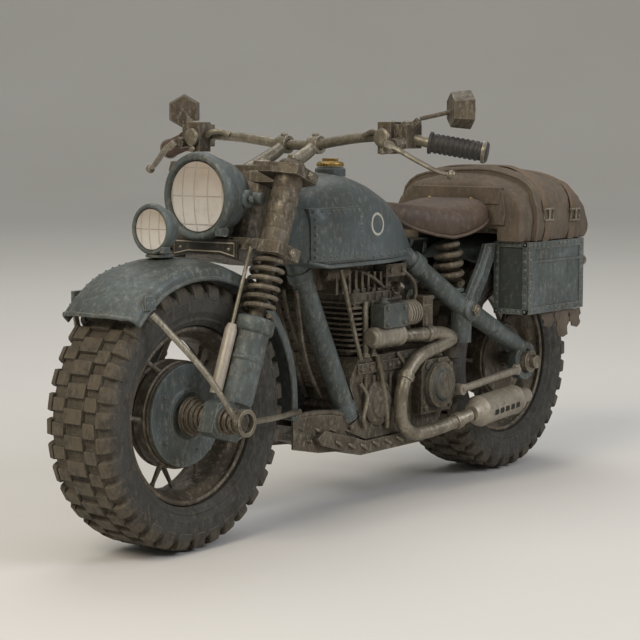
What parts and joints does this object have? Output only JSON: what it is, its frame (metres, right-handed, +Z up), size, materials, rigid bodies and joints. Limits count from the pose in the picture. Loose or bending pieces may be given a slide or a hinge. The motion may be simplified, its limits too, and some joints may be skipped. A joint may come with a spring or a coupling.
{
  "type": "tin wind-up motorcycle",
  "caption": "Weathered tin toy motorcycle with sprung fork, spoked wheels, saddle, canvas pack and pannier boxes, driven by a key-wound clockwork on its right side.",
  "frame": {"origin": "on the ground plane, under the centre of the overall box", "axes": "+Z up, the machine faces -Y, +X is the rider's left"},
  "size_m": [0.1654, 0.3162, 0.1684],
  "materials": {
    "blue_grey_paint": "weathered satin paint with grime",
    "grimy_steel": "oily, rust-brown stained steel",
    "bare_steel": "dull bare steel with dirt in the hollows",
    "engine_metal": "cast, grimy",
    "tyre": "dusty black rubber",
    "grip_rubber": "black rubber",
    "brown_grip": "brown wrapped grip",
    "lens": "cream pressed glass",
    "saddle_leather": "worn brown leather",
    "canvas": "dusty brown canvas",
    "brass": "dull brass",
    "black_paint": "black paint"
  },
  "bodies": {
    "chassis": {"main_frame": "grimy_steel", "downtube_left": "blue_grey_paint", "downtube_right": "blue_grey_paint", "rear_stay_left": "blue_grey_paint", "rear_stay_right": "blue_grey_paint", "fuel_tank": "blue_grey_paint", "belly_pan": "grimy_steel", "crankcase": "engine_metal", "cylinder_block": "engine_metal", "carburettor": "bare_steel", "exhaust_header": "bare_steel", "muffler": "bare_steel", "saddle_spring_left": "grimy_steel", "saddle_spring_right": "grimy_steel", "rear_fender": "blue_grey_paint", "luggage_rack": "grimy_steel", "canvas_pack": "canvas", "pannier_left": "blue_grey_paint", "pannier_right": "blue_grey_paint", "movement_frame": "bare_steel", "mainspring": "bare_steel", "rear_axle": "bare_steel"},
    "steering": {"fork_yokes": "grimy_steel", "fork_leg_left": "grimy_steel", "fork_leg_right": "grimy_steel", "fork_spring_left": "bare_steel", "fork_spring_right": "bare_steel", "headlamp_shell": "blue_grey_paint", "headlamp_lens": "lens", "front_plate": "black_paint", "handlebar": "bare_steel", "grip_left": "grip_rubber", "grip_right": "brown_grip", "control_left": "grimy_steel", "control_right": "grimy_steel"},
    "front_suspension": {"fork_slider_left": "blue_grey_paint", "fork_slider_right": "blue_grey_paint", "front_axle": "grimy_steel", "front_fender": "blue_grey_paint", "fender_stay_left": "bare_steel", "fender_stay_right": "bare_steel", "aux_lamp_shell": "blue_grey_paint", "aux_lamp_lens": "lens"},
    "front_wheel": {"front_tyre": "tyre", "front_rim": "grimy_steel", "front_hub_cap": "blue_grey_paint"},
    "rear_wheel": {"rear_tyre": "tyre", "rear_rim": "grimy_steel", "rear_pinion": "brass"},
    "layshaft": {"layshaft": "brass"},
    "winding_arbor": {"great_wheel": "brass", "winding_key": "brass"},
    "clutch_lever": {"clutch_lever": "bare_steel"},
    "brake_lever": {"brake_lever": "bare_steel"},
    "mirror_left": {"mirror_left": "grimy_steel"},
    "mirror_right": {"mirror_right": "grimy_steel"},
    "pannier_door_left": {"pannier_door_left": "blue_grey_paint"},
    "pannier_door_right": {"pannier_door_right": "blue_grey_paint"},
    "saddle": {"saddle": "saddle_leather"},
    "fuel_cap": {"fuel_cap": "brass"}
  },
  "joints": [
    {"name": "steering_turn", "type": "hinge", "parent": "chassis", "child": "steering", "pos_m": [0, -0.05869, 0.13103], "axis": [0, 0.36, 0.933], "range_deg": [-20, 20]},
    {"name": "fork_slide", "type": "slide", "parent": "steering", "child": "front_suspension", "axis": [0, 0.36, 0.933], "range_m": [0, 0.002], "stiffness_N_per_m": 4000, "springref_m": -0.004, "deforming": ["fork_spring_left", "fork_spring_right"]},
    {"name": "front_wheel_spin", "type": "hinge", "parent": "front_suspension", "child": "front_wheel", "pos_m": [0, -0.10786, 0.05], "axis": [1, 0, 0], "continuous": true},
    {"name": "rear_wheel_spin", "type": "hinge", "parent": "chassis", "child": "rear_wheel", "pos_m": [0, 0.10214, 0.05], "axis": [1, 0, 0], "continuous": true},
    {"name": "layshaft_spin", "type": "hinge", "parent": "chassis", "child": "layshaft", "pos_m": [-0.03, 0.07414, 0.05], "axis": [1, 0, 0], "continuous": true},
    {"name": "key_arbor_spin", "type": "hinge", "parent": "chassis", "child": "winding_arbor", "pos_m": [-0.03, 0.04814, 0.05], "axis": [1, 0, 0], "continuous": true},
    {"name": "clutch_lever_pull", "type": "hinge", "parent": "steering", "child": "clutch_lever", "pos_m": [0.0546, -0.04569, 0.14703], "axis": [0.5308, -0.4359, 0.7268], "range_deg": [0, 14], "stiffness_Nm_per_rad": 0.02, "springref_deg": -11.46},
    {"name": "brake_lever_pull", "type": "hinge", "parent": "steering", "child": "brake_lever", "pos_m": [-0.0546, -0.04569, 0.14703], "axis": [0.5308, 0.4359, -0.7268], "range_deg": [0, 14], "stiffness_Nm_per_rad": 0.02, "springref_deg": -11.46},
    {"name": "mirror_left_swivel", "type": "hinge", "parent": "steering", "child": "mirror_left", "pos_m": [0.0583, -0.03209, 0.15763], "axis": [0, 0, 1], "range_deg": [-25, 25]},
    {"name": "mirror_right_swivel", "type": "hinge", "parent": "steering", "child": "mirror_right", "pos_m": [-0.0583, -0.03209, 0.15763], "axis": [0, 0, 1], "range_deg": [-25, 25]},
    {"name": "pannier_door_left_hinge", "type": "hinge", "parent": "chassis", "child": "pannier_door_left", "pos_m": [0.0266, 0.13104, 0.074], "axis": [-1, 0, 0], "range_deg": [0, 100]},
    {"name": "pannier_door_right_hinge", "type": "hinge", "parent": "chassis", "child": "pannier_door_right", "pos_m": [-0.0266, 0.13104, 0.074], "axis": [-1, 0, 0], "range_deg": [0, 100]},
    {"name": "saddle_pivot", "type": "hinge", "parent": "chassis", "child": "saddle", "pos_m": [0, 0.02114, 0.12], "axis": [-1, 0, 0], "range_deg": [0, 4], "stiffness_Nm_per_rad": 1, "springref_deg": -1.72, "deforming": ["saddle_spring_left", "saddle_spring_right"]},
    {"name": "fuel_cap_turn", "type": "hinge", "parent": "chassis", "child": "fuel_cap", "pos_m": [0, -0.01186, 0.14], "axis": [0, 0, 1], "range_deg": [0, 90]}
  ],
  "couplings": [
    {"joint": "layshaft_spin", "follows": "rear_wheel_spin", "ratio": -0.4},
    {"joint": "key_arbor_spin", "follows": "rear_wheel_spin", "ratio": 0.12}
  ]
}
